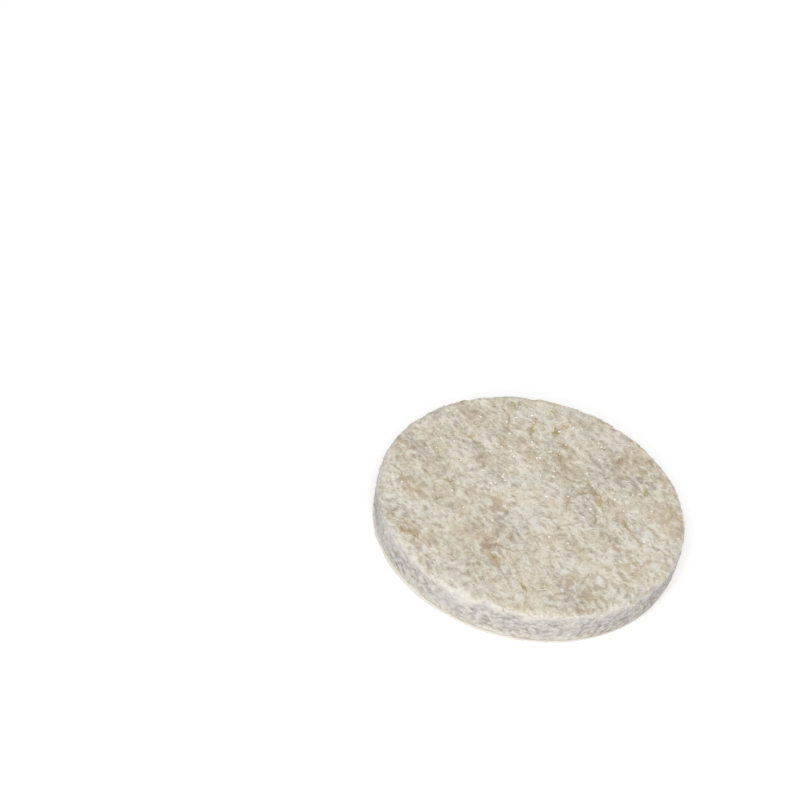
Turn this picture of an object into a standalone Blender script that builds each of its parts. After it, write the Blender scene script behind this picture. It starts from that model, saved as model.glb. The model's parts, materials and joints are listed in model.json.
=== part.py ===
"""Round stick-on felt pad for the foot of a chair or table.

A thick needled felt disc is bonded by an adhesive film to a paper liner, which is peeled off
before use. Metres, +Z up. The pad lies on its liner with the felt's glide face upwards, and the
origin is the centre of the liner's underside.
"""

from math import ceil, cos, pi, sin

import bpy

# Felt disc, die cut from needled sheet
FELT_DIAMETER = 0.038
FELT_THICKNESS = 0.00475
EDGE_WIDTH = 0.00095
EDGE_DROP = 0.00085
FOOT_PINCH = 0.0004
PINCH_POWER = 3

# Lumps that the fibres leave in the cut wall
LUMP_HEIGHT = 0.00022
LUMP_LENGTH = 0.0024
LUMPS_FROM_TURN = pi / 3

# Adhesive film between the felt and the liner
FILM_THICKNESS = 0.0001
FILM_SETBACK = 0.00015

# Paper liner, cut a little larger than the felt's foot
LINER_THICKNESS = 0.00015
LINER_MARGIN = 0.0003

# Facets
SIDES = 128
EDGE_POINTS = 7
WALL_POINTS = 8
MERGE_DISTANCE = 0.00001
QUARTER_TURN = pi / 2
SMOOTH_ANGLE = pi / 6

# Surface colours, linear, with their roughness
FELT_COLOUR = (0.60, 0.54, 0.44, 1.0)
FELT_ROUGHNESS = 0.95
FELT_SHEEN = 0.3
FILM_COLOUR = (0.46, 0.36, 0.24, 1.0)
FILM_ROUGHNESS = 0.35
LINER_COLOUR = (0.84, 0.81, 0.73, 1.0)
LINER_ROUGHNESS = 0.55

# Heights and radii that follow from the sizes above
FELT_RADIUS = FELT_DIAMETER / 2
FOOT_RADIUS = FELT_RADIUS - FOOT_PINCH
FILM_BOTTOM = LINER_THICKNESS
FELT_BOTTOM = FILM_BOTTOM + FILM_THICKNESS
FELT_TOP = FELT_BOTTOM + FELT_THICKNESS


def clear_scene():
    """Empty the scene of every object."""
    for old in list(bpy.data.objects):
        bpy.data.objects.remove(old, do_unlink=True)


def parts_collection(name):
    """Make the collection that holds the pad's pieces."""
    collection = bpy.data.collections.new(name)
    bpy.context.scene.collection.children.link(collection)
    return collection


def finish(name, colour, roughness, sheen=0.0):
    """Make one piece's surface."""
    surface = bpy.data.materials.new(name)
    surface.use_nodes = True
    shader = surface.node_tree.nodes["Principled BSDF"]
    shader.inputs["Base Color"].default_value = colour
    shader.inputs["Roughness"].default_value = roughness
    shader.inputs["Metallic"].default_value = 0.0
    shader.inputs["Sheen Weight"].default_value = sheen
    return surface


def felt_profile():
    """Half section of the felt as (radius, height), from the top's centre down to the foot's.

    The top edge is a quarter of an ellipse, as felt rounds over under the die. Below it the
    wall is widest, and it draws in towards the foot, where the die pinched it.
    """
    face_radius = FELT_RADIUS - EDGE_WIDTH
    wall_top = FELT_TOP - EDGE_DROP
    wall_height = wall_top - FELT_BOTTOM
    points = [(0.0, FELT_TOP)]
    for step in range(EDGE_POINTS + 1):
        turn = QUARTER_TURN * step / EDGE_POINTS
        points.append((face_radius + EDGE_WIDTH * sin(turn), wall_top + EDGE_DROP * cos(turn)))
    for step in range(1, WALL_POINTS + 1):
        depth = step / WALL_POINTS
        radius = FELT_RADIUS - FOOT_PINCH * depth**PINCH_POWER
        points.append((radius, wall_top - wall_height * depth))
    points.append((0.0, FELT_BOTTOM))
    return points


def turned(name, profile, collection):
    """Turn a half section once round the Z axis."""
    mesh = bpy.data.meshes.new(name)
    corners = [(radius, 0.0, height) for radius, height in profile]
    edges = [(index, index + 1) for index in range(len(profile) - 1)]
    mesh.from_pydata(corners, edges, [])
    piece = bpy.data.objects.new(name, mesh)
    collection.objects.link(piece)
    screw = piece.modifiers.new("turn", "SCREW")
    screw.axis = "Z"
    screw.steps = SIDES
    screw.render_steps = SIDES
    screw.use_merge_vertices = True
    screw.merge_threshold = MERGE_DISTANCE
    return piece


def rough_wall(piece):
    """Let the fibres swell and dent the wall, from low on the edge's round to above the foot."""
    edge_start = 1
    foot = edge_start + EDGE_POINTS + WALL_POINTS
    first = edge_start + ceil(EDGE_POINTS * LUMPS_FROM_TURN / QUARTER_TURN)
    wall = piece.vertex_groups.new(name="cut_wall")
    wall.add(list(range(first, foot)), 1.0, "REPLACE")
    lumps = bpy.data.textures.new("fibre_lumps", "CLOUDS")
    lumps.noise_scale = LUMP_LENGTH
    swell = piece.modifiers.new("fibre_lumps", "DISPLACE")
    swell.texture = lumps
    swell.texture_coords = "LOCAL"
    swell.vertex_group = wall.name
    swell.direction = "NORMAL"
    swell.strength = LUMP_HEIGHT


def smooth_turned(piece):
    """Shade the rounded parts smooth and keep the foot's corner sharp."""
    graph = bpy.context.evaluated_depsgraph_get()
    turned_mesh = bpy.data.meshes.new_from_object(piece.evaluated_get(graph))
    piece.modifiers.clear()
    piece.data = turned_mesh
    turned_mesh.name = piece.name
    turned_mesh.shade_smooth()
    turned_mesh.set_sharp_from_angle(angle=SMOOTH_ANGLE)


def make_felt(collection):
    """The felt disc: flat glide face, rounded top edge, cut wall and flat foot."""
    felt = turned("felt_disc", felt_profile(), collection)
    rough_wall(felt)
    smooth_turned(felt)
    felt.data.materials.append(finish("felt", FELT_COLOUR, FELT_ROUGHNESS, FELT_SHEEN))
    return felt


def make_sheet(name, radius, bottom, thickness, surface, collection):
    """A thin round sheet that lies flat, from its radius and the height of its underside."""
    bpy.ops.mesh.primitive_cylinder_add(
        vertices=SIDES, radius=radius, depth=thickness, location=(0.0, 0.0, bottom + thickness / 2)
    )
    sheet = bpy.context.active_object
    sheet.name = name
    sheet.data.name = name
    for holder in list(sheet.users_collection):
        holder.objects.unlink(sheet)
    collection.objects.link(sheet)
    sheet.data.shade_smooth()
    sheet.data.set_sharp_from_angle(angle=SMOOTH_ANGLE)
    sheet.data.materials.append(surface)
    return sheet


def make_pad():
    """Felt, film and liner, each on the one below."""
    collection = parts_collection("felt_furniture_pad")
    make_felt(collection)
    make_sheet(
        "adhesive_film",
        FOOT_RADIUS - FILM_SETBACK,
        FILM_BOTTOM,
        FILM_THICKNESS,
        finish("adhesive", FILM_COLOUR, FILM_ROUGHNESS),
        collection,
    )
    make_sheet(
        "release_liner",
        FOOT_RADIUS + LINER_MARGIN,
        0.0,
        LINER_THICKNESS,
        finish("liner_paper", LINER_COLOUR, LINER_ROUGHNESS),
        collection,
    )


clear_scene()
make_pad()
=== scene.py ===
# %% [markdown]
# # A felt furniture pad, dressed in Blender
# The pad is a round of thick needled felt with a sticky film under it, and the film is still
# covered by its paper liner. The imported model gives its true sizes. This lesson dresses it: a felt
# body with a lumpy surface, a nap of real fibres on it, the film, and the paper. The camera, the
# light and the floor come first, because every finish is judged through them.

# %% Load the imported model
import json
import random
from math import cos, degrees, pi, radians, sin

import bmesh
import bpy
from mathutils import Matrix, Vector
from mathutils.bvhtree import BVHTree

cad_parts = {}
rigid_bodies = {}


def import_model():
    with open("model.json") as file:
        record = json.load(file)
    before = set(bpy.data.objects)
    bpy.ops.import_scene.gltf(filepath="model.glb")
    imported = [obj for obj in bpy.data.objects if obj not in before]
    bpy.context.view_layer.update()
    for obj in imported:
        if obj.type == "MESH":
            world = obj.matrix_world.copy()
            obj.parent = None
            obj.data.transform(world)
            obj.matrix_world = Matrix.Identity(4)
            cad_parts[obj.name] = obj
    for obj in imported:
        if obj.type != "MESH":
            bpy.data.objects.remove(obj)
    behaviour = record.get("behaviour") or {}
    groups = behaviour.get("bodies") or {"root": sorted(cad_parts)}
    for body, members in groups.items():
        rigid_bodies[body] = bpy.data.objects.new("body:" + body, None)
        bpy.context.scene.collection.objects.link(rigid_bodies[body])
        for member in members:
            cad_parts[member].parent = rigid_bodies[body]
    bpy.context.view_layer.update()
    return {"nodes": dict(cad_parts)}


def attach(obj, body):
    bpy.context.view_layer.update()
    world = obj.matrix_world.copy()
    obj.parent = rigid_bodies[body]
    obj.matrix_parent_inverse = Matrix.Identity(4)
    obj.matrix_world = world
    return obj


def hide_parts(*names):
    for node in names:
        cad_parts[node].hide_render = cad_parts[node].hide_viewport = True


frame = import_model()
MM = 0.001

# %% [markdown]
# ## Camera
# A camera has a place, a direction and a lens. Here the three were found by fitting the outline of
# a round pad, so the script writes them down as distance, height angle and focal length. The
# picture's tilt is a roll about the view line. The camera is turned so that the pad's centre lands
# on its pixel; turning is used instead of lens shift, because it stays right in other views.

# %% Camera
IMAGE_SIDE = 800
FOCAL_PIXELS = 4070
SENSOR = 36.0
DISTANCE = 0.498
CLIP_START = 0.01
HEIGHT_ANGLE = radians(43.49)
ROLL = radians(-14.84)
CENTRE_PIXEL = Vector((524.9, 530.7))

from_pad = Vector((0.0, -cos(HEIGHT_ANGLE), sin(HEIGHT_ANGLE)))
level_right = Vector((1.0, 0.0, 0.0))
level_down = (-from_pad).cross(level_right)
picture_right = cos(ROLL) * level_right + sin(ROLL) * level_down
picture_down = -sin(ROLL) * level_right + cos(ROLL) * level_down
off_centre = CENTRE_PIXEL - Vector((IMAGE_SIDE / 2, IMAGE_SIDE / 2))
look = -from_pad * FOCAL_PIXELS - picture_right * off_centre.x - picture_down * off_centre.y
look.normalize()
axis_x = (picture_right - look * picture_right.dot(look)).normalized()
axis_y = (-look).cross(axis_x)

bpy.ops.object.camera_add()
camera = bpy.context.active_object
camera.name = "camera"
camera.data.sensor_width = SENSOR
camera.data.lens = FOCAL_PIXELS * SENSOR / IMAGE_SIDE
camera.data.clip_start = CLIP_START
camera.matrix_world = Matrix.Translation(from_pad * DISTANCE) @ Matrix(
    (axis_x, axis_y, -look)
).transposed().to_4x4()
scene = bpy.context.scene
scene.camera = camera
scene.view_settings.view_transform = "Standard"
print("lens:", round(camera.data.lens, 2), "mm")

# %% [markdown]
# ## Light
# The pad lies in a white light tent: soft light from everywhere, more from above the camera, and a
# little from behind, which keeps the far rim from going dark. A world of plain white does the
# first, and two big area lamps do the rest. All of them add up to the level at which a colour
# renders about as it is written. The camera itself sees the world as pure white: a mix by kind of
# ray gives it a brighter sky than the one that lights the pad.

# %% Light
WORLD_LIGHT = 0.36
LAMP_SIDE = 0.9
# Lamps, as (name, place in metres, watts)
LAMPS = (
    ("front_lamp", Vector((-0.05, -0.85, 0.82)), 12.2),
    ("back_lamp", Vector((0.15, 0.9, 0.6)), 3.5),
)
WHITE = (1.0, 1.0, 1.0, 1.0)


def seen_directly(tree):
    """Give 1 for a ray from the camera, or one seen in a mirror or through glass, and 0 otherwise."""
    ray = tree.nodes.new("ShaderNodeLightPath")
    total = ray.outputs["Is Camera Ray"]
    for kind in ("Is Glossy Ray", "Is Transmission Ray"):
        either = tree.nodes.new("ShaderNodeMath")
        either.operation = "MAXIMUM"
        tree.links.new(total, either.inputs[0])
        tree.links.new(ray.outputs[kind], either.inputs[1])
        total = either.outputs["Value"]
    return total


world = bpy.data.worlds.new("light_tent")
scene.world = world
world.use_nodes = True
sky = world.node_tree
sky_light = sky.nodes["Background"]
sky_light.inputs["Color"].default_value = WHITE
sky_light.inputs["Strength"].default_value = WORLD_LIGHT
sky_seen = sky.nodes.new("ShaderNodeBackground")
sky_seen.inputs["Color"].default_value = WHITE
sky_mix = sky.nodes.new("ShaderNodeMixShader")
sky.links.new(seen_directly(sky), sky_mix.inputs["Fac"])
sky.links.new(sky_light.outputs["Background"], sky_mix.inputs[1])
sky.links.new(sky_seen.outputs["Background"], sky_mix.inputs[2])
sky.links.new(sky_mix.outputs["Shader"], sky.nodes["World Output"].inputs["Surface"])

for lamp_name, lamp_place, watts in LAMPS:
    bpy.ops.object.light_add(type="AREA", location=lamp_place)
    lamp = bpy.context.active_object
    lamp.name = lamp_name
    lamp.data.size = LAMP_SIDE
    lamp.data.energy = watts
    lamp.rotation_euler = (-lamp_place).to_track_quat("-Z", "Y").to_euler()
    print(lamp_name, watts, "W at", tuple(round(x, 2) for x in lamp_place), "m")

# %% [markdown]
# ## Floor
# The floor is a plain white sheet. White paint alone would render as light grey, so a glow that
# only the camera sees lifts it to white, and the pad's soft shadow stays. The floor lies a hair
# below the pad, because two faces in one plane would fight and show stripes.

# %% Floor
FLOOR_SIDE = 2.0
FLOOR_GAP = 0.02 * MM
FLOOR_WHITE = 0.74
FLOOR_LIFT = 0.33

bpy.ops.mesh.primitive_plane_add(size=FLOOR_SIDE, location=(0.0, 0.0, -FLOOR_GAP))
floor = bpy.context.active_object
floor.name = "floor"
floor_paint = bpy.data.materials.new("white_floor")
floor_paint.use_nodes = True
paint = floor_paint.node_tree
matt = paint.nodes["Principled BSDF"]
matt.inputs["Base Color"].default_value = (FLOOR_WHITE, FLOOR_WHITE, FLOOR_WHITE, 1.0)
matt.inputs["Roughness"].default_value = 1.0
matt.inputs["Specular IOR Level"].default_value = 0.0
floor_glow = paint.nodes.new("ShaderNodeEmission")
floor_lift = paint.nodes.new("ShaderNodeMath")
floor_lift.operation = "MULTIPLY"
floor_lift.inputs[1].default_value = FLOOR_LIFT
floor_sum = paint.nodes.new("ShaderNodeAddShader")
paint.links.new(seen_directly(paint), floor_lift.inputs[0])
paint.links.new(floor_lift.outputs["Value"], floor_glow.inputs["Strength"])
paint.links.new(matt.outputs["BSDF"], floor_sum.inputs[0])
paint.links.new(floor_glow.outputs["Emission"], floor_sum.inputs[1])
paint.links.new(floor_sum.outputs["Shader"], paint.nodes["Material Output"].inputs["Surface"])
floor.data.materials.append(floor_paint)
print("floor:", FLOOR_SIDE, "m wide,", round(FLOOR_GAP / MM, 3), "mm below the pad")

# %% [markdown]
# ## Small helpers
# Operators act on whatever is selected, so one helper makes a single object selected and active.
# A second applies every modifier in order, and a third finishes a piece: its place goes into its
# mesh, it gets its material, and it rides on the pad.

# %% Helpers
def only(piece):
    """Select one object and make it the active one."""
    bpy.ops.object.select_all(action="DESELECT")
    piece.select_set(True)
    bpy.context.view_layer.objects.active = piece
    return piece


def apply_modifiers(piece):
    """Apply every modifier of a piece, first to last."""
    only(piece)
    for modifier in list(piece.modifiers):
        bpy.ops.object.modifier_apply(modifier=modifier.name)


def triangles(piece):
    """Count a mesh's triangles."""
    return sum(len(face.vertices) - 2 for face in piece.data.polygons)


def finish_piece(piece, name, material):
    """Name a piece, give it one material, and let it ride on the pad."""
    piece.name = name
    piece.data.name = name
    only(piece)
    bpy.ops.object.transform_apply(location=True, rotation=True, scale=True)
    piece.data.materials.clear()
    piece.data.materials.append(material)
    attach(piece, "root")
    print(name, triangles(piece), "triangles")


print("packed triangles:", {name: triangles(node) for name, node in frame["nodes"].items()})

# %% [markdown]
# ## Node helpers
# A procedural colour is a tree of small nodes. These helpers add one node or a pair and give back
# its output, so that a pattern reads like a sum. All patterns read Object coordinates in metres,
# and a Mapping node turns them and draws them out, as the sheet's grain is drawn out.

# %% Node helpers
EVEN = (1.0, 1.0, 1.0)


def add(tree, kind, **values):
    """Add a node; a value named like an input sets that input, and any other sets a property."""
    made = tree.nodes.new(kind)
    for name, value in values.items():
        label = name.replace("_", " ").title()
        if label in made.inputs:
            made.inputs[label].default_value = value
        else:
            setattr(made, name, value)
    return made


def mapped(tree, turn, stretch):
    """Object coordinates, turned about Z and stretched."""
    coordinates = add(tree, "ShaderNodeTexCoord")
    mapping = add(tree, "ShaderNodeMapping", vector_type="TEXTURE")
    mapping.inputs["Rotation"].default_value = (0.0, 0.0, turn)
    mapping.inputs["Scale"].default_value = tuple(1.0 / share for share in stretch)
    tree.links.new(coordinates.outputs["Object"], mapping.inputs["Vector"])
    return mapping.outputs["Vector"]


def noise_node(tree, place, size, detail=2.0, roughness=0.5):
    """Noise whose blotches are about the given size, in millimetres."""
    made = add(tree, "ShaderNodeTexNoise", scale=1.0 / (size * MM), detail=detail, roughness=roughness)
    tree.links.new(place, made.inputs["Vector"])
    return made


def noise(tree, place, size, detail=2.0, roughness=0.5):
    """The grey value of noise, mostly between 0.3 and 0.7."""
    return noise_node(tree, place, size, detail, roughness).outputs["Fac"]


def ramp(tree, value, low, high, top=1.0):
    """Turn a value that runs from low to high into one from 0 to top, and clamp it."""
    made = add(tree, "ShaderNodeMapRange", from_min=low, from_max=high, to_max=top)
    tree.links.new(value, made.inputs["Value"])
    return made.outputs["Result"]


def band(tree, height, limits):
    """A ramp between two heights in millimetres."""
    return ramp(tree, height, limits[0] * MM, limits[1] * MM)


def product(tree, first, second):
    """Multiply two values."""
    made = add(tree, "ShaderNodeMath", operation="MULTIPLY")
    tree.links.new(first, made.inputs[0])
    tree.links.new(second, made.inputs[1])
    return made.outputs["Value"]


def scaled_sum(tree, value, factor, total):
    """A value times a factor, plus a total that is a socket or a plain number."""
    made = add(tree, "ShaderNodeMath", operation="MULTIPLY_ADD")
    made.inputs[1].default_value = factor
    tree.links.new(value, made.inputs[0])
    if isinstance(total, bpy.types.NodeSocket):
        tree.links.new(total, made.inputs[2])
    else:
        made.inputs[2].default_value = total
    return made.outputs["Value"]


def lean_on(tree, total, value, weight):
    """Move a total by how far a noise value lies from its middle, times a weight."""
    if isinstance(total, bpy.types.NodeSocket):
        return scaled_sum(tree, value, weight, scaled_sum(tree, total, 1.0, -weight / 2))
    return scaled_sum(tree, value, weight, total - weight / 2)


def blend(tree, share, first, second):
    """Mix two colours; each is a socket or a plain colour."""
    made = add(tree, "ShaderNodeMix", data_type="RGBA")
    tree.links.new(share, made.inputs[0])
    for socket, colour in ((made.inputs[6], first), (made.inputs[7], second)):
        if isinstance(colour, bpy.types.NodeSocket):
            tree.links.new(colour, socket)
        else:
            socket.default_value = colour
    return made.outputs[2]


print("noise with blotches of 1 mm has a scale of", round(1.0 / MM))

# %% [markdown]
# ## Where the patterns lie
# Real felt is matted: its streaks follow the sheet's grain only roughly, and they curl. So the
# coordinates are turned and drawn out along the grain, and then pushed about by soft noise, which
# bends every streak a little. The cut wall shows the sheet's layers instead, so there the patterns
# and above all the pits run level. A few brown clouds are placed one by one, each a soft spot
# whose edge drifts.

# %% Places of the patterns
GRAIN_ANGLE = radians(-42.0)
GRAIN_STRETCH = 0.68
BROAD_STRETCH = 0.42
WALL_STRETCH = (0.80, 0.80, 0.85)
PIT_STRETCH = (0.62, 0.62, 1.0)
FACE_TO_WALL = (4.45, 4.0)
SWIRL_SIZE = 2.2
SWIRL_REACH = 1.4 * MM
DRIFT_SIZE = 2.2
DRIFT_REACH = 5.0 * MM

# Brown clouds on the face, as (x, y, length, width) in millimetres
CLOUDS = (
    (13.3, -5.8, 5.5, 3.2),
    (6.8, 3.6, 4.5, 3.0),
    (-3.5, -10.2, 5.0, 2.6),
    (8.4, -13.0, 5.0, 3.0),
    (-13.0, -10.0, 5.5, 2.4),
    (15.5, 3.0, 4.0, 3.0),
    (-15.0, -2.5, 4.0, 2.2),
    (3.0, 9.0, 3.8, 2.2),
    (-4.0, -1.0, 4.0, 2.2),
    (12.5, 10.5, 4.5, 2.6),
)


def along_grain(tree):
    """Coordinates drawn out along the sheet's grain."""
    return mapped(tree, GRAIN_ANGLE, (GRAIN_STRETCH, 1.0, 1.0))


def matted(tree, grain, layers, height):
    """Grain coordinates on the face, layered ones on the wall, both curled by a swirl."""
    where = add(tree, "ShaderNodeMix", data_type="VECTOR")
    tree.links.new(band(tree, height, FACE_TO_WALL), where.inputs[0])
    tree.links.new(grain, where.inputs[4])
    tree.links.new(layers, where.inputs[5])
    swirl = noise_node(tree, where.outputs[1], SWIRL_SIZE, detail=1.0)
    curled = add(tree, "ShaderNodeVectorMath", operation="MULTIPLY_ADD")
    curled.inputs[1].default_value = (SWIRL_REACH, SWIRL_REACH, SWIRL_REACH)
    tree.links.new(swirl.outputs["Color"], curled.inputs[0])
    tree.links.new(where.outputs[1], curled.inputs[2])
    return curled.outputs["Vector"]


def placed_clouds(tree, plain):
    """The strongest of the placed clouds, each soft edged and drawn out along the grain."""
    drift = noise_node(tree, plain, DRIFT_SIZE, detail=3.0)
    push = add(tree, "ShaderNodeVectorMath", operation="MULTIPLY_ADD")
    push.inputs[1].default_value = (DRIFT_REACH, DRIFT_REACH, 0.0)
    push.inputs[2].default_value = (-DRIFT_REACH / 2, -DRIFT_REACH / 2, 0.0)
    tree.links.new(drift.outputs["Color"], push.inputs[0])
    moved = add(tree, "ShaderNodeVectorMath", operation="ADD")
    tree.links.new(plain, moved.inputs[0])
    tree.links.new(push.outputs["Vector"], moved.inputs[1])
    total = None
    for x, y, length, width in CLOUDS:
        spot = add(tree, "ShaderNodeMapping", vector_type="TEXTURE")
        spot.inputs["Location"].default_value = (x * MM, y * MM, 0.0)
        spot.inputs["Rotation"].default_value = (0.0, 0.0, GRAIN_ANGLE)
        spot.inputs["Scale"].default_value = (length * MM, width * MM, 1.0)
        soft = add(tree, "ShaderNodeTexGradient", gradient_type="SPHERICAL")
        tree.links.new(moved.outputs["Vector"], spot.inputs["Vector"])
        tree.links.new(spot.outputs["Vector"], soft.inputs["Vector"])
        if total is None:
            total = soft.outputs["Fac"]
        else:
            both = add(tree, "ShaderNodeMath", operation="MAXIMUM")
            tree.links.new(total, both.inputs[0])
            tree.links.new(soft.outputs["Fac"], both.inputs[1])
            total = both.outputs["Value"]
    return total


print("clouds placed by hand:", len(CLOUDS))

# %% [markdown]
# ## How dark the felt is
# Needled felt is a blend: cream, grey-beige and brown fibres lie together. A picture of felt would
# show its edges, so the tone is a sum of patterns instead, from fine speckle to broad clouds, plus
# each fibre's own shade. The sum then picks a tone between four colours. The middle sizes stay
# weak, because strong spots of one or two millimetres look like stone.

# %% Tone of the felt
TONES = (
    (0.15, (0.80, 0.765, 0.685, 1.0)),
    (0.42, (0.66, 0.615, 0.52, 1.0)),
    (0.64, (0.53, 0.47, 0.385, 1.0)),
    (0.90, (0.38, 0.315, 0.245, 1.0)),
)
MIDDLE_TONE = 0.433
# Patterns of the tone, as (size in millimetres, weight)
MOTTLE = (0.62, 1.16)
PATCH = (0.85, 0.74)
BROAD = (3.8, 0.80)
# Speckle, as (value where it starts, value where it is full, weight)
SPECKLE_SIZE = 0.26
DARK_SPECKLE = (0.56, 0.74, 0.24)
PALE_SPECKLE = (0.26, 0.44, 0.20)
# The mottle breaks up the clouds, as (value where they start, value where they are full, most)
CLOUD_BREAKS = (0.30, 0.62, 1.3)
CLOUD_DARKNESS = 0.18


def felt_tone(tree, plain, place, shade, shade_weight):
    """How dark the blend is, from 0 to 1, and where its clouds lie."""
    speckle = noise(tree, plain, SPECKLE_SIZE, detail=1.0)
    mottle = noise(tree, place, MOTTLE[0], detail=1.0)
    tone = lean_on(tree, MIDDLE_TONE, mottle, MOTTLE[1])
    for start, full, weight in (DARK_SPECKLE, PALE_SPECKLE):
        tone = lean_on(tree, tone, ramp(tree, speckle, start, full), weight)
    tone = lean_on(tree, tone, noise(tree, place, PATCH[0], detail=1.0), PATCH[1])
    broad = mapped(tree, GRAIN_ANGLE, (BROAD_STRETCH, 1.0, 1.0))
    tone = lean_on(tree, tone, noise(tree, broad, BROAD[0], detail=1.0), BROAD[1])
    tone = lean_on(tree, tone, shade, shade_weight)
    clouds = product(tree, placed_clouds(tree, plain), ramp(tree, mottle, *CLOUD_BREAKS))
    return scaled_sum(tree, clouds, CLOUD_DARKNESS, tone), clouds


def toned(tree, tone):
    """The colour of a tone, between the four that are written down."""
    stops = add(tree, "ShaderNodeValToRGB")
    first, last = stops.color_ramp.elements[0], stops.color_ramp.elements[1]
    first.position, first.color = TONES[0]
    last.position, last.color = TONES[-1]
    for position, colour in TONES[1:-1]:
        stops.color_ramp.elements.new(position).color = colour
    tree.links.new(tone, stops.inputs["Fac"])
    return stops.outputs["Color"]


print("tones:", len(TONES), "from", TONES[0][1][:3], "to", TONES[-1][1][:3])

# %% [markdown]
# ## Warm and cool patches
# The fibres of the blend don't lie evenly: some patches are tan or olive, and some are grey. A
# warmth is summed up like the tone, from streaks along the grain, broad regions and the placed
# clouds, and its two ends mix in brown and grey.

# %% Warm and cool
TAN = (0.60, 0.49, 0.385, 1.0)
OLIVE = (0.57, 0.50, 0.35, 1.0)
COOL_GREY = (0.56, 0.535, 0.505, 1.0)
MIDDLE_WARMTH = 0.30
# Patterns of the warmth, as (size in millimetres, weight)
WARM_STREAK = (1.3, 1.2)
WARM_REGION = (4.8, 1.5)
CLOUD_WARMTH = 0.35
HUE_SIZE = 0.7
TAN_TO_OLIVE = (0.42, 0.58)
# Warmths at which a colour starts and is full, and its most
BROWN_COMES = (0.15, 1.0, 0.8)
GREY_COMES = (0.35, -0.25, 0.5)


def warmed(tree, colour, plain, grain, clouds):
    """Tan and olive where the blend is warm, most of all in its clouds, and grey where it is cool."""
    streaks = noise(tree, grain, WARM_STREAK[0], detail=2.0, roughness=0.55)
    warm = lean_on(tree, MIDDLE_WARMTH, streaks, WARM_STREAK[1])
    warm = lean_on(tree, warm, noise(tree, plain, WARM_REGION[0], detail=1.0), WARM_REGION[1])
    warm = scaled_sum(tree, clouds, CLOUD_WARMTH, warm)
    hue = noise(tree, grain, HUE_SIZE, detail=1.0)
    brown = blend(tree, ramp(tree, hue, *TAN_TO_OLIVE), TAN, OLIVE)
    colour = blend(tree, ramp(tree, warm, *BROWN_COMES), colour, brown)
    return blend(tree, ramp(tree, warm, *GREY_COMES), colour, COOL_GREY)


print("warmth starts from", MIDDLE_WARMTH, "and brown comes in at", BROWN_COMES[0])

# %% [markdown]
# ## The rim and the cut wall
# The pressed face ends in a cream rim, partly the felt's own and partly a painted highlight on
# the rounded edge. The cut wall is lilac grey in the middle, and brown pits show between its
# layers: partly darker fibres, partly painted shade in the gaps. Each finish comes in between two
# heights. A straight band would look painted on, so the height is first pushed up and down by
# noise, and the borders wander.

# %% Rim and wall
LILAC_GREY = (0.63, 0.605, 0.59, 1.0)
# Brown of the wall's pits: partly darker fibres, partly painted shade in the gaps between layers
PIT_BROWN_AND_SHADE = (0.32, 0.265, 0.225, 1.0)
# Cream of the rim: partly the felt's own, partly a painted highlight on the rounded edge
RIM_CREAM_AND_HIGHLIGHT = (0.83, 0.80, 0.735, 1.0)
WANDER_SIZE = 1.5
WANDER_REACH = 3.2 * MM
# Heights in millimetres at which a finish starts and is full
RIM_BELOW = (5.1, 4.45)
RIM_OFF_FACE = (4.93, 4.55)
LILAC_BELOW = (4.6, 3.9)
LILAC_ABOVE = (1.0, 2.0)
PITS_BELOW = (4.5, 3.2)
PITS_ABOVE = (-0.6, 1.4)
# Values at which a pattern starts and is full, and its most
RIM_TONES = (1.2, 0.3, 0.75)
LILAC_PATCHES = (0.22, 0.60, 0.85)
PIT_SPOTS = (0.43, 0.70)
PIT_REGIONS = (0.32, 0.58, 0.65)
LEAST_PITS = 0.25
LILAC_SIZE = 1.3
PIT_SIZE = 0.48
PIT_REGION_SIZE = 5.0


def edge_and_wall(tree, colour, tone, plain, layers, height):
    """Rim cream with a painted highlight, lilac grey on the wall, brown pits with painted shade;
    borders wander.
    """
    wander = lean_on(tree, height, noise(tree, plain, WANDER_SIZE, detail=3.0), WANDER_REACH)
    rim = product(tree, band(tree, wander, RIM_BELOW), ramp(tree, tone, *RIM_TONES))
    rim = product(tree, rim, band(tree, height, RIM_OFF_FACE))
    # The rim's cream is partly a painted highlight on the rounded edge
    colour = blend(tree, rim, colour, RIM_CREAM_AND_HIGHLIGHT)
    middle = product(tree, band(tree, wander, LILAC_BELOW), band(tree, wander, LILAC_ABOVE))
    patches = ramp(tree, noise(tree, layers, LILAC_SIZE, detail=2.0), *LILAC_PATCHES)
    colour = blend(tree, product(tree, middle, patches), colour, LILAC_GREY)
    pits = noise(tree, mapped(tree, 0.0, PIT_STRETCH), PIT_SIZE, detail=2.0, roughness=0.6)
    regions = ramp(tree, noise(tree, plain, PIT_REGION_SIZE, detail=2.0), *PIT_REGIONS)
    most = scaled_sum(tree, regions, 1.0, LEAST_PITS)
    spots = product(tree, most, ramp(tree, pits, *PIT_SPOTS))
    lower = product(tree, band(tree, wander, PITS_BELOW), band(tree, wander, PITS_ABOVE))
    # The pits' brown is partly painted shade in the gaps between the wall's layers
    return blend(tree, product(tree, lower, spots), colour, PIT_BROWN_AND_SHADE)


print("rim cream from", RIM_BELOW[0], "mm down, pits up to", PITS_BELOW[0], "mm")

# %% [markdown]
# ## One colour for body and nap
# The nap lies on the body, and bare felt shows between its fibres. One function builds the colour
# for both, out of the steps above, so that the two agree wherever they meet.

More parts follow.
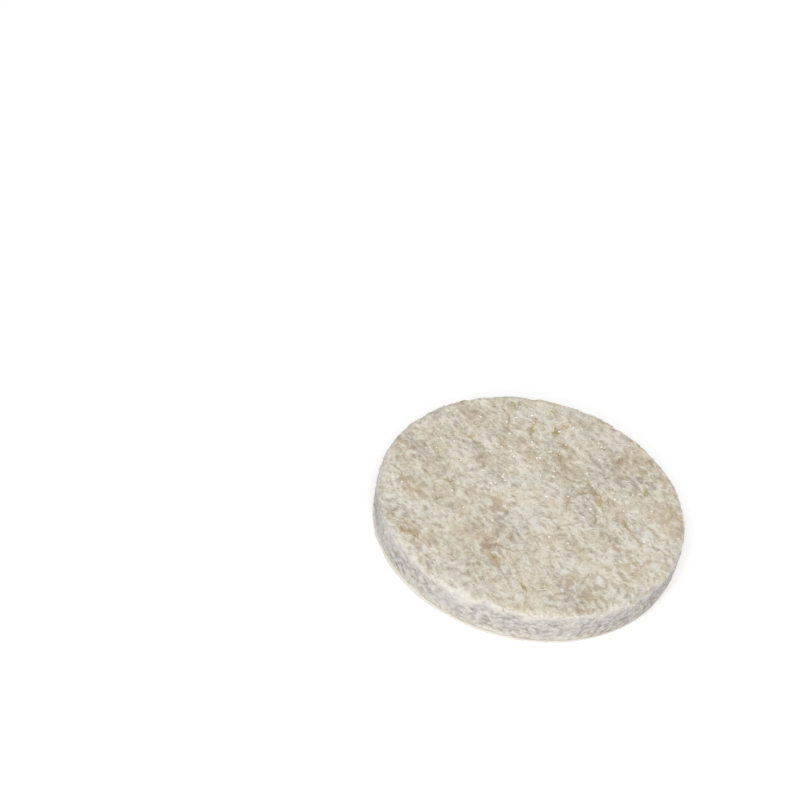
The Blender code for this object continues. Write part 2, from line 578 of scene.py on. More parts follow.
# %% Felt colour
def felt_colour(tree, shade, shade_weight):
    """The blend's colour where a fibre of this shade lies, from 0, palest, to 1, darkest."""
    plain = mapped(tree, 0.0, EVEN)
    grain = along_grain(tree)
    layers = mapped(tree, 0.0, WALL_STRETCH)
    axes = add(tree, "ShaderNodeSeparateXYZ")
    tree.links.new(plain, axes.inputs["Vector"])
    height = axes.outputs["Z"]
    place = matted(tree, grain, layers, height)
    tone, clouds = felt_tone(tree, plain, place, shade, shade_weight)
    colour = warmed(tree, toned(tree, tone), plain, grain, clouds)
    return edge_and_wall(tree, colour, tone, plain, layers, height)


print("grain runs at", round(degrees(GRAIN_ANGLE)), "degrees")

# %% [markdown]
# ## Felt and fibre materials
# The dense body and the loose fibres share the colour. The body takes its shade from fine noise,
# which also bumps it, and a fibre takes its own from the attribute fibre_shade, which the scatter
# below stores. Wool hardly shines, so the roughness is high and the reflection weak.

# %% Felt and fibre materials
BODY_GRAIN = 0.25
BODY_SHADE = 0.3
FIBRE_SHADE = 0.22


def new_surface(name, roughness, reflection):
    """A material with its shader's roughness and reflection set; gives material, tree and shader."""
    made = bpy.data.materials.new(name)
    made.use_nodes = True
    shader = made.node_tree.nodes["Principled BSDF"]
    shader.inputs["Roughness"].default_value = roughness
    shader.inputs["Specular IOR Level"].default_value = reflection
    return made, made.node_tree, shader


def add_bump(tree, shader, pattern, strength, depth):
    """Let a pattern stand out from the surface by a depth in millimetres."""
    bump = add(tree, "ShaderNodeBump", strength=strength, distance=depth * MM)
    tree.links.new(pattern, bump.inputs["Height"])
    tree.links.new(bump.outputs["Normal"], shader.inputs["Normal"])


def felt_body_material():
    """The dense felt under the nap, with a bump of matted fibres."""
    made, tree, shader = new_surface("felt_body", roughness=0.95, reflection=0.15)
    shader.inputs["Sheen Weight"].default_value = 0.1
    fine = noise(tree, along_grain(tree), BODY_GRAIN, detail=5.0, roughness=0.6)
    tree.links.new(felt_colour(tree, fine, BODY_SHADE), shader.inputs["Base Color"])
    add_bump(tree, shader, fine, strength=0.3, depth=0.10)
    return made


def fibre_material(name):
    """Single fibres: each has its own shade, kept in the attribute fibre_shade."""
    made, tree, shader = new_surface(name, roughness=0.7, reflection=0.3)
    shade = add(tree, "ShaderNodeAttribute", attribute_name="fibre_shade")
    tree.links.new(felt_colour(tree, shade.outputs["Fac"], FIBRE_SHADE), shader.inputs["Base Color"])
    return made


body_felt = felt_body_material()
nap_felt = fibre_material("nap_fibre")
for felt in (body_felt, nap_felt):
    print(felt.name, "has", len(felt.node_tree.nodes), "nodes")

# %% [markdown]
# ## The felt body
# The disc was die cut from a thick sheet. Its top edge rounds over, and its wall draws in at the
# foot, where the die pinched it. It starts as a cylinder: two cuts give the wall rings to draw in,
# and the rim is bevelled. A voxel remesh then gives it an even skin of small faces, which the
# next step can push into lumps.

# %% Felt body
FELT_RADIUS = 19.0 * MM
FOOT_RADIUS = 18.6 * MM
FELT_BOTTOM = 0.25 * MM
FELT_TOP = 5.0 * MM
EDGE_ROUND = 0.9 * MM
EDGE_SEGMENTS = 8
BODY_SIDES = 192
WALL_CUTS = (1.6 * MM, 0.8 * MM)
PINCH_POWER = 3
VOXEL = 0.155 * MM
NEAR = 0.01 * MM


def select_ring(piece, height):
    """In edit mode, select the edges that lie at one height."""
    bpy.ops.mesh.select_all(action="DESELECT")
    mesh = bmesh.from_edit_mesh(piece.data)
    for edge in mesh.edges:
        if all(abs(corner.co.z - height) < NEAR for corner in edge.verts):
            edge.select_set(True)
    bmesh.update_edit_mesh(piece.data)


def pinch(depth):
    """Share of the radius that is left at a depth of 0, wall top, to 1, foot."""
    return 1.0 - (1.0 - FOOT_RADIUS / FELT_RADIUS) * depth**PINCH_POWER


bpy.ops.object.select_all(action="DESELECT")
bpy.ops.mesh.primitive_cylinder_add(
    vertices=BODY_SIDES,
    radius=FELT_RADIUS,
    depth=FELT_TOP - FELT_BOTTOM,
    location=(0.0, 0.0, (FELT_TOP + FELT_BOTTOM) / 2),
)
body = bpy.context.active_object
bpy.ops.object.transform_apply(location=True)
bpy.ops.object.mode_set(mode="EDIT")
bpy.ops.mesh.select_mode(type="EDGE")
for cut_height in WALL_CUTS:
    bpy.ops.mesh.select_all(action="SELECT")
    bpy.ops.mesh.bisect(plane_co=(0.0, 0.0, cut_height), plane_no=(0.0, 0.0, 1.0))
for ring_height in (*WALL_CUTS, FELT_BOTTOM):
    wall_depth = (FELT_TOP - EDGE_ROUND - ring_height) / (FELT_TOP - EDGE_ROUND - FELT_BOTTOM)
    select_ring(body, ring_height)
    left = pinch(wall_depth)
    bpy.ops.transform.resize(value=(left, left, 1.0), center_override=(0.0, 0.0, 0.0))
select_ring(body, FELT_TOP)
bpy.ops.mesh.bevel(offset=EDGE_ROUND, segments=EDGE_SEGMENTS, profile=0.5)
bpy.ops.object.mode_set(mode="OBJECT")

bpy.ops.object.modifier_add(type="REMESH")
remesh = body.modifiers[-1]
remesh.mode = "VOXEL"
remesh.voxel_size = VOXEL
apply_modifiers(body)
print("skin of", triangles(body), "triangles")

# %% [markdown]
# ## Lumps
# No fibre sheet is smooth. Cloud noise pushes the skin in and out by a tenth of a millimetre or
# two: softly all over, more on the cut wall, where the die tore the fibres, and in waves along the
# rim, so that the pad's outline is a little rough. Vertex groups that fade in steps say where each
# noise works. The foot stays flat, because the film is stuck to it.

# %% Lumps
GROUP_STEPS = 8
SKIN_ABOVE_FOOT = 0.1 * MM
WALL_FOOT = 0.5 * MM
# Where the wall and the rim start, and how far each step goes on, in millimetres
WALL_BELOW_TOP = (0.4, 0.12)
RIM_RADIUS = (17.2, 0.1)
RIM_HEIGHT = (3.2, 0.08)
# Lumps, as (size, height, where, middle) in millimetres
LUMPS = (
    (3.2, 0.10, "skin", 0.6),
    (0.8, 0.06, "skin", 0.5),
    (0.4, 0.06, "skin", 0.5),
    (2.4, 0.16, "wall", 0.5),
    (1.1, 0.20, "wall", 0.5),
    (0.5, 0.18, "wall", 0.5),
    (1.5, 0.22, "rim", 0.5),
    (0.7, 0.14, "rim", 0.5),
)


def step_value(start_and_step, step):
    """A length in metres, from its start in millimetres and so many steps."""
    return (start_and_step[0] + start_and_step[1] * step) * MM


def roughen(piece, size, height, group, middle):
    """Push a skin in and out by cloud noise, whose lumps have a size and a height."""
    lumps = bpy.data.textures.new("lumps", "CLOUDS")
    lumps.noise_scale = size
    lumps.noise_depth = 1
    only(piece)
    bpy.ops.object.modifier_add(type="DISPLACE")
    push = piece.modifiers[-1]
    push.texture = lumps
    push.texture_coords = "LOCAL"
    push.vertex_group = group
    push.strength = height
    push.mid_level = middle
    apply_modifiers(piece)


skin = body.vertex_groups.new(name="skin")
wall = body.vertex_groups.new(name="wall")
rim = body.vertex_groups.new(name="rim")
points = body.data.vertices
skin.add([v.index for v in points if v.co.z > FELT_BOTTOM + SKIN_ABOVE_FOOT], 1.0, "REPLACE")
for step in range(1, GROUP_STEPS + 1):
    share = step / GROUP_STEPS
    highest = FELT_TOP - step_value(WALL_BELOW_TOP, step)
    wall.add([v.index for v in points if WALL_FOOT < v.co.z < highest], share, "REPLACE")
    inner = step_value(RIM_RADIUS, step)
    lowest = step_value(RIM_HEIGHT, step)
    rim.add([v.index for v in points if v.co.xy.length > inner and v.co.z > lowest], share, "REPLACE")

for size, height, group, middle in LUMPS:
    roughen(body, size * MM, height * MM, group, middle)
print("top of the lumps:", round(max(v.co.z for v in body.data.vertices) / MM, 2), "mm")

# %% [markdown]
# ## The flat foot
# The remesh leaves thousands of small faces on the foot, where the film covers them. They are
# selected by their normal and place, deleted, and replaced by one flat face, which saves a third
# of the piece.

# %% Flat foot
DOWNWARD = -0.98
FOOT_BAND = 0.05 * MM

before = triangles(body)
bpy.ops.object.mode_set(mode="EDIT")
bpy.ops.mesh.select_mode(type="FACE")
bpy.ops.mesh.select_all(action="DESELECT")
edit_mesh = bmesh.from_edit_mesh(body.data)
for face in edit_mesh.faces:
    low = face.calc_center_median().z < FELT_BOTTOM + FOOT_BAND
    face.select_set(low and face.normal.z < DOWNWARD)
bmesh.update_edit_mesh(body.data)
bpy.ops.mesh.delete(type="FACE")
bpy.ops.mesh.select_mode(type="EDGE")
bpy.ops.mesh.select_non_manifold()
bpy.ops.mesh.edge_face_add()
bpy.ops.object.mode_set(mode="OBJECT")
bpy.ops.object.shade_smooth()
print("triangles saved at the foot:", before - triangles(body))

finish_piece(body, "felt_body", body_felt)
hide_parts("felt_disc")

# %% [markdown]
# ## One fibre
# A fibre is modelled once in several curls. Each starts as a thin three-sided rod along X, is cut
# into short lengths and flattened, and is bent twice: once round Z, so that it curls on the felt,
# and once round Y, so that it arches over its neighbours. Flat shading and three sides are enough:
# thousands of them make the haze that felt has.

# %% Fibre shapes
FIBRE_SIDES = 3
FIBRE_LENGTH = 2.0 * MM
FIBRE_WIDTH = 0.065 * MM
FIBRE_FLATNESS = 0.35
FIBRE_CUTS = 2
# Bends, as (curl, arch) in degrees
NAP_BENDS = ((40, 3), (-70, 5), (110, 3), (-150, 4), (200, 3), (-25, 6), (75, 2), (-100, 4))


def make_fibre(name, curl, arch, holder, length=FIBRE_LENGTH, width=FIBRE_WIDTH, cuts=FIBRE_CUTS):
    """One curled rod, a few dozen faces in all; its bends are in degrees."""
    bpy.ops.object.select_all(action="DESELECT")
    bpy.ops.mesh.primitive_cylinder_add(
        vertices=FIBRE_SIDES, radius=width / 2, depth=length, rotation=(0.0, pi / 2, 0.0)
    )
    rod = bpy.context.active_object
    bpy.ops.object.transform_apply(rotation=True)
    bpy.ops.object.mode_set(mode="EDIT")
    bpy.ops.mesh.select_mode(type="EDGE")
    bpy.ops.mesh.select_all(action="DESELECT")
    mesh = bmesh.from_edit_mesh(rod.data)
    for edge in mesh.edges:
        edge.select_set(abs(edge.verts[0].co.x - edge.verts[1].co.x) > length / 2)
    bmesh.update_edit_mesh(rod.data)
    bpy.ops.mesh.subdivide(number_cuts=cuts)
    bpy.ops.mesh.select_all(action="SELECT")
    bpy.ops.transform.resize(value=(1.0, 1.0, FIBRE_FLATNESS))
    bpy.ops.object.mode_set(mode="OBJECT")
    for turn, about in ((curl, "Z"), (arch, "Y")):
        bpy.ops.object.modifier_add(type="SIMPLE_DEFORM")
        bend = rod.modifiers[-1]
        bend.deform_method = "BEND"
        bend.deform_axis = about
        bend.angle = radians(turn)
    apply_modifiers(rod)
    rod.name = name
    for old in list(rod.users_collection):
        old.objects.unlink(rod)
    holder.objects.link(rod)
    return rod


def fibre_family(name, bends, **sizes):
    """A collection of fibres that differ in their bends; it isn't in the scene, so it isn't seen."""
    family = bpy.data.collections.new(f"{name}_family")
    for index, (curl, arch) in enumerate(bends):
        make_fibre(f"{name}_{index}", curl, arch, family, **sizes)
    return family


nap_fibres = fibre_family("nap_fibre", NAP_BENDS)

# %% [markdown]
# ## Zones of the felt
# The nap differs on the face, the rim and the cut wall. Painting a mask for each would be slow, so
# a zone is a pair of radii and a pair of heights, and a few nodes test each place against them.

# %% Zones
# Zones in millimetres; a steady zone's fibres lie level, though the felt under them is lumpy
ZONES = {
    "face": {"radius": (0.0, 17.5), "height": (4.3, 6.0), "steady": 4.0},
    "rim": {"radius": (17.5, 20.0), "height": (4.1, 6.0), "steady": 0.0},
    "wall": {"radius": (17.5, 20.0), "height": (0.47, 4.1), "steady": 0.0},
    "upper_wall": {"radius": (17.5, 20.0), "height": (1.2, 4.1), "steady": 0.0},
}


def in_zone(tree, axes, zone):
    """Whether a point lies between a zone's radii and between its heights."""
    level = add(tree, "ShaderNodeCombineXYZ")
    tree.links.new(axes.outputs["X"], level.inputs["X"])
    tree.links.new(axes.outputs["Y"], level.inputs["Y"])
    radius = add(tree, "ShaderNodeVectorMath", operation="LENGTH")
    tree.links.new(level.outputs[0], radius.inputs[0])
    inside = None
    for measure, (low, high) in (
        (radius.outputs["Value"], ZONES[zone]["radius"]),
        (axes.outputs["Z"], ZONES[zone]["height"]),
    ):
        for operation, limit in (("GREATER_EQUAL", low), ("LESS_THAN", high)):
            test = add(tree, "FunctionNodeCompare", data_type="FLOAT", operation=operation)
            test.inputs[1].default_value = limit * MM
            tree.links.new(measure, test.inputs[0])
            if inside is None:
                inside = test.outputs[0]
            else:
                both = add(tree, "FunctionNodeBooleanMath", operation="AND")
                tree.links.new(inside, both.inputs[0])
                tree.links.new(test.outputs[0], both.inputs[1])
                inside = both.outputs[0]
    return inside


print("zones:", ", ".join(ZONES))

# %% [markdown]
# ## How a fibre lies
# Carding leaves fibres pointing every way on the face, while on the rim and the wall more of them
# run round the pad. So a heading is drawn at random within a spread. The fibre is turned to it,
# laid on the surface, and leans a little. On the face the surface's normal is drawn towards
# straight up, because pressing laid the nap flat.

# %% How a fibre lies
def random_number(tree, limits, seed):
    """A random number for each point, between two limits."""
    made = add(tree, "FunctionNodeRandomValue", data_type="FLOAT")
    made.inputs[2].default_value = limits[0]
    made.inputs[3].default_value = limits[1]
    made.inputs["Seed"].default_value = seed
    return made.outputs[1]


def heading_socket(tree, axes, zone, spread, seed):
    """A random heading about the grain on the face, and about the run of the wall elsewhere."""
    heading = add(tree, "ShaderNodeMath", operation="ADD")
    tree.links.new(random_number(tree, (-spread, spread), seed), heading.inputs[0])
    if zone == "face":
        heading.inputs[1].default_value = GRAIN_ANGLE
    else:
        around = add(tree, "ShaderNodeMath", operation="ARCTAN2")
        tree.links.new(axes.outputs["Y"], around.inputs[0])
        tree.links.new(axes.outputs["X"], around.inputs[1])
        quarter = add(tree, "ShaderNodeMath", operation="ADD")
        quarter.inputs[1].default_value = pi / 2
        tree.links.new(around.outputs[0], quarter.inputs[0])
        tree.links.new(quarter.outputs[0], heading.inputs[1])
    return heading.outputs[0]


def lying_rotation(tree, heading, normal, zone, tilt, seed):
    """Lay a fibre on the surface with a heading, and let it lean a little at random."""
    euler = add(tree, "ShaderNodeCombineXYZ")
    tree.links.new(heading, euler.inputs["Z"])
    flat = add(tree, "FunctionNodeEulerToRotation")
    tree.links.new(euler.outputs[0], flat.inputs[0])
    steadied = add(tree, "ShaderNodeVectorMath", operation="ADD")
    steadied.inputs[1].default_value = (0.0, 0.0, ZONES[zone]["steady"])
    tree.links.new(normal, steadied.inputs[0])
    upright = add(tree, "FunctionNodeAlignRotationToVector", axis="Z")
    tree.links.new(flat.outputs[0], upright.inputs["Rotation"])
    tree.links.new(steadied.outputs["Vector"], upright.inputs["Vector"])
    lean = add(tree, "FunctionNodeRandomValue", data_type="FLOAT_VECTOR")
    lean.inputs[0].default_value = (-tilt * 2, -tilt, 0.0)
    lean.inputs[1].default_value = (tilt * 2, tilt, 0.0)
    lean.inputs["Seed"].default_value = seed
    leaning = add(tree, "FunctionNodeEulerToRotation")
    tree.links.new(lean.outputs[0], leaning.inputs[0])
    turned = add(tree, "FunctionNodeRotateRotation", rotation_space="LOCAL")
    tree.links.new(upright.outputs[0], turned.inputs["Rotation"])
    tree.links.new(leaning.outputs[0], turned.inputs["Rotate By"])
    return turned.outputs[0]


print("steadied zones:", [zone for zone, limits in ZONES.items() if limits["steady"]])

# %% [markdown]
# ## Scattering the fibres
# Thousands of fibres can't be placed by hand. A Geometry Nodes modifier strews points over the
# felt, puts a curl on each, turns it to lie on the surface, and stores a random shade on it. The
# modifier is then applied, so that the fibres are plain mesh.

# %% Scatter
def scatter_tree(name, shapes, per_mm2, seed, spread, zone, size, tilt, lift, shade):
    """The node tree that strews one family of fibres over a zone."""
    tree = bpy.data.node_groups.new(name, "GeometryNodeTree")
    tree.interface.new_socket("Geometry", in_out="INPUT", socket_type="NodeSocketGeometry")
    tree.interface.new_socket("Geometry", in_out="OUTPUT", socket_type="NodeSocketGeometry")
    link = tree.links.new
    source = add(tree, "NodeGroupInput")
    result = add(tree, "NodeGroupOutput")
    place = add(tree, "GeometryNodeInputPosition")
    axes = add(tree, "ShaderNodeSeparateXYZ")
    link(place.outputs[0], axes.inputs[0])
    strewn = add(tree, "GeometryNodeDistributePointsOnFaces")
    strewn.inputs["Density"].default_value = per_mm2 / MM**2
    strewn.inputs["Seed"].default_value = seed
    link(source.outputs[0], strewn.inputs["Mesh"])
    link(in_zone(tree, axes, zone), strewn.inputs["Selection"])
    outward = add(tree, "ShaderNodeVectorMath", operation="SCALE")
    outward.inputs["Scale"].default_value = lift
    link(strewn.outputs["Normal"], outward.inputs[0])
    lifted = add(tree, "GeometryNodeSetPosition")
    link(strewn.outputs["Points"], lifted.inputs["Geometry"])
    link(outward.outputs["Vector"], lifted.inputs["Offset"])
    choice = add(tree, "GeometryNodeCollectionInfo")
    choice.inputs["Collection"].default_value = shapes
    choice.inputs["Separate Children"].default_value = True
    choice.inputs["Reset Children"].default_value = True
    fibres = add(tree, "GeometryNodeInstanceOnPoints")
    fibres.inputs["Pick Instance"].default_value = True
    heading = heading_socket(tree, axes, zone, spread, seed + 1)
    rotation = lying_rotation(tree, heading, strewn.outputs["Normal"], zone, tilt, seed + 2)
    link(lifted.outputs["Geometry"], fibres.inputs["Points"])
    link(choice.outputs[0], fibres.inputs["Instance"])
    link(rotation, fibres.inputs["Rotation"])
    link(random_number(tree, size, seed + 3), fibres.inputs["Scale"])
    keep = add(tree, "GeometryNodeStoreNamedAttribute", data_type="FLOAT", domain="INSTANCE")
    keep.inputs["Name"].default_value = "fibre_shade"
    link(fibres.outputs[0], keep.inputs["Geometry"])
    link(random_number(tree, shade, seed + 4), keep.inputs["Value"])
    real = add(tree, "GeometryNodeRealizeInstances")
    link(keep.outputs[0], real.inputs["Geometry"])
    link(real.outputs[0], result.inputs[0])
    return tree


def scatter(name, shapes, per_mm2, seed, spread, zone="face", size=(0.6, 1.25), tilt=0.035, lift=0.0,
            shade=(0.0, 1.0)):
    """Strew fibres over a copy of the felt body, and finish them as a piece of their own."""
    only(body)
    bpy.ops.object.duplicate()
    piece = bpy.context.active_object
    for key in [key for key in piece.keys() if key.startswith("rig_")]:
        del piece[key]
    piece.parent = None
    bpy.ops.object.modifier_add(type="NODES")
    piece.modifiers[-1].node_group = scatter_tree(
        name, shapes, per_mm2, seed, spread, zone, size, tilt, lift, shade
    )
    apply_modifiers(piece)
    piece.vertex_groups.clear()
    finish_piece(piece, name, nap_felt)


print("felt to strew over:", triangles(body), "triangles")

# %% [markdown]
# ## The nap
# The pressed face has a short, thick nap whose fibres point every way. On the rim and the wall
# they are shorter, and more of them run round the pad. The face takes two scatters, because one
# piece may not have more than 200,000 triangles.

# %% Nap
FACE_PER_MM2 = 9.9
FACE_SEEDS = (11, 21)

for number, seed in enumerate(FACE_SEEDS, start=1):
    scatter(f"nap_face_{number}", nap_fibres, per_mm2=FACE_PER_MM2, seed=seed, spread=radians(90),
            size=(0.3, 0.8))
scatter("nap_rim", nap_fibres, per_mm2=20.0, seed=41, spread=radians(60), zone="rim",
        size=(0.2, 0.5))
scatter("nap_wall", nap_fibres, per_mm2=15.0, seed=51, spread=radians(50), zone="wall",
        size=(0.2, 0.55))

# %% [markdown]
# ## Loose fibres
# Some fibres didn't lie down. Short ones stand off the rim and the cut wall and blur the outline,
# and long pale ones curl across the face on top of the nap. They use the same scatter. A shade
# below 0 is paler than any fibre of the nap.

# %% Loose fibres
LOOSE_BENDS = ((60, 40), (-90, 30), (30, 50), (-140, 35))
LOOSE_PER_MM2 = 0.8
CURL_BENDS = ((150, 4), (-190, 3), (90, 5), (-120, 4))
CURL_LIFT = 0.05 * MM

loose_fibres = fibre_family("loose_fibre", LOOSE_BENDS, length=1.0 * MM, width=0.03 * MM)
for zone_name, seed in (("rim", 61), ("upper_wall", 71)):
    scatter(f"loose_{zone_name}", loose_fibres, per_mm2=LOOSE_PER_MM2, seed=seed, spread=pi,
            zone=zone_name, size=(0.4, 1.0), tilt=0.2, shade=(-1.6, -0.8))

curls = fibre_family("pale_curl", CURL_BENDS, length=3.6 * MM, width=0.05 * MM, cuts=7)
scatter("pale_curls", curls, per_mm2=0.22, seed=91, spread=pi, size=(0.6, 1.3), tilt=0.02,
        lift=CURL_LIFT, shade=(-1.2, -0.5))

# %% [markdown]
# ## Laying single strands
# A few marks catch the eye, so they are placed one by one. A ray cast down on the felt
# gives the height at each place, and a copy of a fibre is laid there with its own mesh and one
# shade. Many strands are then joined into one piece.

# %% Laying strands
LAYING_SEED = 5
STRAND_TILT = 0.04

chance = random.Random(LAYING_SEED)
strand_shapes = bpy.data.collections.new("strand_shapes")
felt_skin = BVHTree.FromObject(body, bpy.context.evaluated_depsgraph_get())


def surface_height(x, y):
    """Height of the felt's face under a point."""
    hit = felt_skin.ray_cast(Vector((x, y, 2 * FELT_TOP)), Vector((0.0, 0.0, -1.0)))[0]
    return hit.z if hit else FELT_TOP


def lay_strand(shape, x, y, lift, heading, size, shade):
    """Lay a copy of a fibre on the felt's face, in millimetres and radians, with one shade."""
    strand = shape.copy()
    strand.data = shape.data.copy()
    scene.collection.objects.link(strand)
    strand.location = (x * MM, y * MM, surface_height(x * MM, y * MM) + lift * MM)
    strand.rotation_euler = (0.0, chance.gauss(0.0, STRAND_TILT), heading)
    strand.scale = (size, size, size)
    kept = strand.data.attributes.new("fibre_shade", "FLOAT", "POINT")
    kept.data.foreach_set("value", [shade] * len(strand.data.vertices))
    return strand


def joined(parts):
    """Join several objects into one, and give it back."""
    bpy.ops.object.select_all(action="DESELECT")
    for part in parts:
        part.select_set(True)
    bpy.context.view_layer.objects.active = parts[0]
    bpy.ops.object.join()
    return parts[0]


def strand_material(name, pale, deep, roughness=0.6):
    """Fibres between two colours, by their shade."""
    made, tree, shader = new_surface(name, roughness, reflection=0.3)
    shade = add(tree, "ShaderNodeAttribute", attribute_name="fibre_shade")
    tree.links.new(blend(tree, shade.outputs["Fac"], pale, deep), shader.inputs["Base Color"])
    return made


print("felt's height at its middle:", round(surface_height(0.0, 0.0) / MM, 2), "mm")

# %% [markdown]
# ## Ochre tufts
# The ochre fibres didn't card out evenly: they sit in small tufts. Each tuft is a few thick
# strands with a dozen or so fine fibres about them, thrown near its middle and mostly along its
# heading, so that it looks caught in the felt and not laid on it.

# %% Ochre tufts
# Tufts, as (x, y, length, heading) in millimetres and degrees
TUFTS = (
    (-2.2, 13.6, 1.4, 65),
    (-2.3, 12.1, 1.2, -85),
    (1.1, 14.1, 1.6, 60),
    (0.5, 13.2, 0.8, -80),
    (1.9, 11.1, 1.2, -35),
    (-5.6, 9.0, 1.2, -50),
    (-8.6, 7.7, 1.3, -40),
    (1.8, 8.7, 1.5, -80),
    (6.1, 3.9, 1.6, 20),
    (6.9, 4.5, 1.0, -50),
    (7.8, 3.2, 1.3, -65),
    (4.1, 1.5, 1.6, -95),
    (-10.2, -0.4, 0.9, -20),
    (-16.0, -1.9, 1.6, -65),
    (9.2, 11.2, 0.9, -90),
    (13.0, 6.7, 0.8, -80),
    (0.0, 16.2, 1.2, -40),
    (-5.3, 16.0, 1.0, -70),
    (17.0, 4.2, 1.2, -60),
    (11.5, 0.1, 1.0, -45),
    (13.0, 12.0, 1.2, -55),
    (-12.6, -11.0, 1.7, -40),
    (-14.3, -10.5, 1.2, -30),
    (1.4, -14.5, 0.9, -60),
    (-3.0, -10.8, 1.3, -55),
)
TUFT_STRANDS = 3
TUFT_FIBRES = 15
ALONG_SPREAD = 0.40
ACROSS_SPREAD = 0.20
TUFT_LIFT = (0.06, 0.16)
STRAND_SIZE = (0.6, 1.0)
WISP_SIZE = (0.25, 0.6)
STRAND_TURN = 0.3
WISP_TURN = 0.6
STRAND_SHADE = (0.5, 1.0)
OCHRE_PALE = (0.73, 0.61, 0.34, 1.0)
OCHRE_DEEP = (0.44, 0.335, 0.14, 1.0)

strand_shape = make_fibre(
    "tuft_strand", curl=45, arch=8, holder=strand_shapes, length=1.0 * MM, width=0.10 * MM
)
tuft_parts = []
for x, y, length, heading in TUFTS:
    turn = radians(heading)
    for number in range(TUFT_STRANDS + TUFT_FIBRES):
        thick = number < TUFT_STRANDS
        along = chance.gauss(0.0, ALONG_SPREAD) * length
        across = chance.gauss(0.0, ACROSS_SPREAD)
        tuft_parts.append(lay_strand(
            strand_shape if thick else chance.choice(nap_fibres.objects),
            x + along * cos(turn) - across * sin(turn),
            y + along * sin(turn) + across * cos(turn),
            chance.uniform(*TUFT_LIFT),
            turn + chance.gauss(0.0, STRAND_TURN if thick else WISP_TURN),
            chance.uniform(*(STRAND_SIZE if thick else WISP_SIZE)),
            chance.uniform(*STRAND_SHADE) if thick else chance.random(),
        ))
ochre = strand_material("ochre_fibre", OCHRE_PALE, OCHRE_DEEP)
finish_piece(joined(tuft_parts), "ochre_tufts", ochre)

# %% [markdown]
# ## Painted glints
# Tiny bright points dot the face. They are painted highlights: near-white scraps that stand for
# the sparkle of light on shiny synthetic fibre ends. Each is a short, broad scrap of the same
# fibre shape, smooth enough to catch the lamp as well. They lie thickest where the light falls on
# the far side of the face, so their places are drawn round a point there.

# %% Painted glints
GLINTS = 140
GLINT_MIDDLE = (0.5, 8.5)
GLINT_SPREAD = 9.5
GLINT_REACH = 17.3
GLINT_LIFT = 0.18
GLINT_SIZE = (0.3, 1.15)
# Near-white colours that paint the glints as highlights
GLINT_PAINT_PALE = (0.99, 0.97, 0.91, 1.0)
GLINT_PAINT_DEEP = (0.95, 0.89, 0.77, 1.0)
GLINT_ROUGHNESS = 0.25

glint_shape = make_fibre(
    "glint", curl=20, arch=30, holder=strand_shapes, length=0.30 * MM, width=0.26 * MM
)
glint_parts = []
while len(glint_parts) < GLINTS:
    x = chance.gauss(GLINT_MIDDLE[0], GLINT_SPREAD)
    y = chance.gauss(GLINT_MIDDLE[1], GLINT_SPREAD)
    if x**2 + y**2 < GLINT_REACH**2:
        glint_parts.append(lay_strand(
            glint_shape,
            x,
            y,
            GLINT_LIFT,
            chance.uniform(0.0, pi),
            chance.uniform(*GLINT_SIZE),
            chance.random(),
        ))
# Painted highlights: near-white scraps with a little real shine
glint_paint = strand_material("painted_glint", GLINT_PAINT_PALE, GLINT_PAINT_DEEP, GLINT_ROUGHNESS)
finish_piece(joined(glint_parts), "glassy_ends", glint_paint)

# %% [markdown]
# ## Long fibres
# A few long tan fibres lie across the face. Each has its own length, width and curl, so each is
# made for its place; more cuts keep a long bend smooth.

# %% Long fibres
# Long fibres, as (x, y, length, heading, curl, width) in millimetres and degrees
LONG_FIBRES = (
    (13.3, -1.9, 6.4, -46, 22, 0.18),
    (12.6, -1.1, 4.6, -50, 34, 0.12),
    (-14.6, -3.6, 4.6, -50, -16, 0.16),
    (-12.2, -11.2, 4.2, -35, 22, 0.16),
    (-1.6, -13.2, 5.0, -48, 12, 0.12),
)
LONG_CUTS = 7
LONG_LIFT = 0.14
LONG_SHADE = 0.3
TAN_PALE = (0.60, 0.49, 0.34, 1.0)
TAN_DEEP = (0.46, 0.35, 0.22, 1.0)

long_parts = []
for x, y, length, heading, curl, width in LONG_FIBRES:
    shape = make_fibre("long_fibre", curl, 0.0, strand_shapes, length * MM, width * MM, LONG_CUTS)
    long_parts.append(lay_strand(shape, x, y, LONG_LIFT, radians(heading), 1.0, LONG_SHADE))
tan = strand_material("tan_fibre", TAN_PALE, TAN_DEEP)
finish_piece(joined(long_parts), "long_fibres", tan)

# %% [markdown]
# ## The paper liner
# The liner is thin paper, die cut with the pad, so its edge isn't a perfect circle: it wanders by a
# tenth of a millimetre. It is a flat cylinder whose top rim is softened by a bevel and pushed about
# by cloud noise in the level only, which keeps it flat.

# %% Paper liner
LINER_SIDES = 360
LINER_RADIUS = 18.70 * MM
LINER_THICKNESS = 0.15 * MM
LINER_SHIFT = (-0.18 * MM, -0.05 * MM)
LINER_BEVEL = 0.03 * MM
EDGE_WANDER = 0.22 * MM
EDGE_WAVE = 2.6 * MM
SMOOTH_ANGLE = radians(35)
PAPER_CREAM = (0.85, 0.83, 0.77, 1.0)
PAPER_SHADE = (0.77, 0.74, 0.67, 1.0)
SHEET_CLOUDS = (0.35, 0.68)
SHEET_GRAIN = 0.12


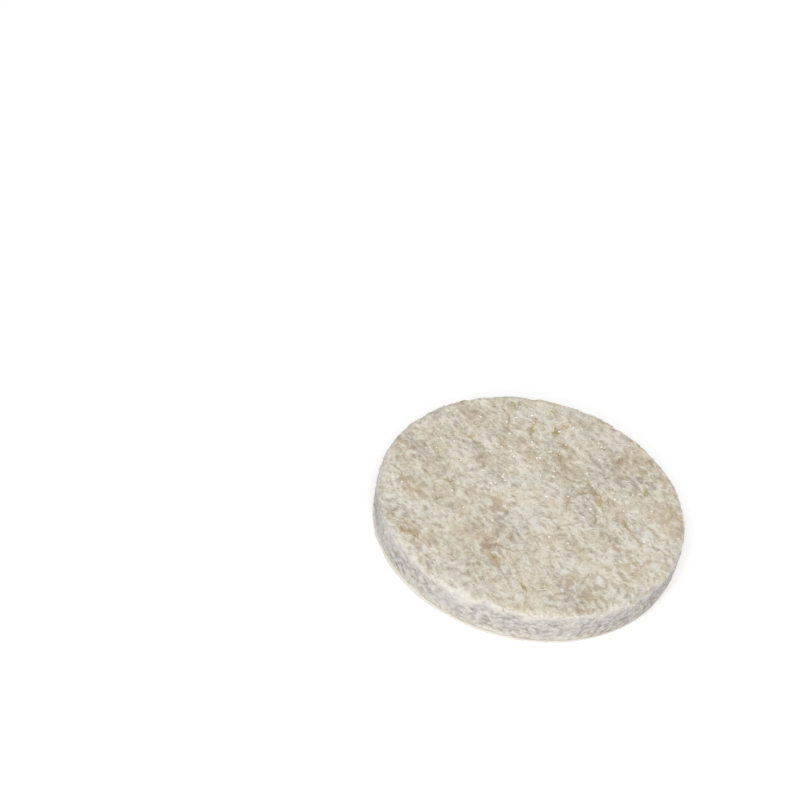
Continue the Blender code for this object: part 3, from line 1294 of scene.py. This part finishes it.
def sheet_material(name, pale, deep, roughness, cloud_size, relief):
    """A thin sheet's finish: two close colours in clouds, and a fine grain."""
    made, tree, shader = new_surface(name, roughness, reflection=0.5)
    place = mapped(tree, 0.0, EVEN)
    cloud = noise(tree, place, cloud_size, detail=5.0, roughness=0.6)
    colour = blend(tree, ramp(tree, cloud, *SHEET_CLOUDS), pale, deep)
    tree.links.new(colour, shader.inputs["Base Color"])
    fine = noise(tree, place, SHEET_GRAIN, detail=3.0)
    add_bump(tree, shader, fine, strength=0.4, depth=relief)
    return made


bpy.ops.object.select_all(action="DESELECT")
bpy.ops.mesh.primitive_cylinder_add(
    vertices=LINER_SIDES,
    radius=LINER_RADIUS,
    depth=LINER_THICKNESS,
    location=(*LINER_SHIFT, LINER_THICKNESS / 2),
)
liner = bpy.context.active_object
bpy.ops.object.transform_apply(location=True)
bpy.ops.object.mode_set(mode="EDIT")
bpy.ops.mesh.select_mode(type="EDGE")
select_ring(liner, LINER_THICKNESS)
bpy.ops.mesh.bevel(offset=LINER_BEVEL, segments=2)
bpy.ops.object.mode_set(mode="OBJECT")
cut_edge = bpy.data.textures.new("cut_edge", "CLOUDS")
cut_edge.noise_scale = EDGE_WAVE
for axis in ("X", "Y"):
    bpy.ops.object.modifier_add(type="DISPLACE")
    push = liner.modifiers[-1]
    push.texture = cut_edge
    push.texture_coords = "LOCAL"
    push.direction = axis
    push.strength = EDGE_WANDER
apply_modifiers(liner)
bpy.ops.object.shade_smooth_by_angle(angle=SMOOTH_ANGLE)
paper = sheet_material(
    "liner_paper", PAPER_CREAM, PAPER_SHADE, roughness=0.5, cloud_size=0.9, relief=0.02
)
finish_piece(liner, "paper_liner", paper)
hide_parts("release_liner")

# %% [markdown]
# ## The adhesive film
# The film shows only as a dark line between felt and paper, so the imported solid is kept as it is
# and gets a brownish, cloudy finish.

# %% Adhesive film
FILM_PALE = (0.52, 0.41, 0.28, 1.0)
FILM_DEEP = (0.36, 0.27, 0.17, 1.0)

film = frame["nodes"]["adhesive_film"]
film.data.materials.clear()
film.data.materials.append(
    sheet_material("adhesive", FILM_PALE, FILM_DEEP, roughness=0.35, cloud_size=1.4, relief=0.01)
)
print("adhesive_film", triangles(film), "triangles")
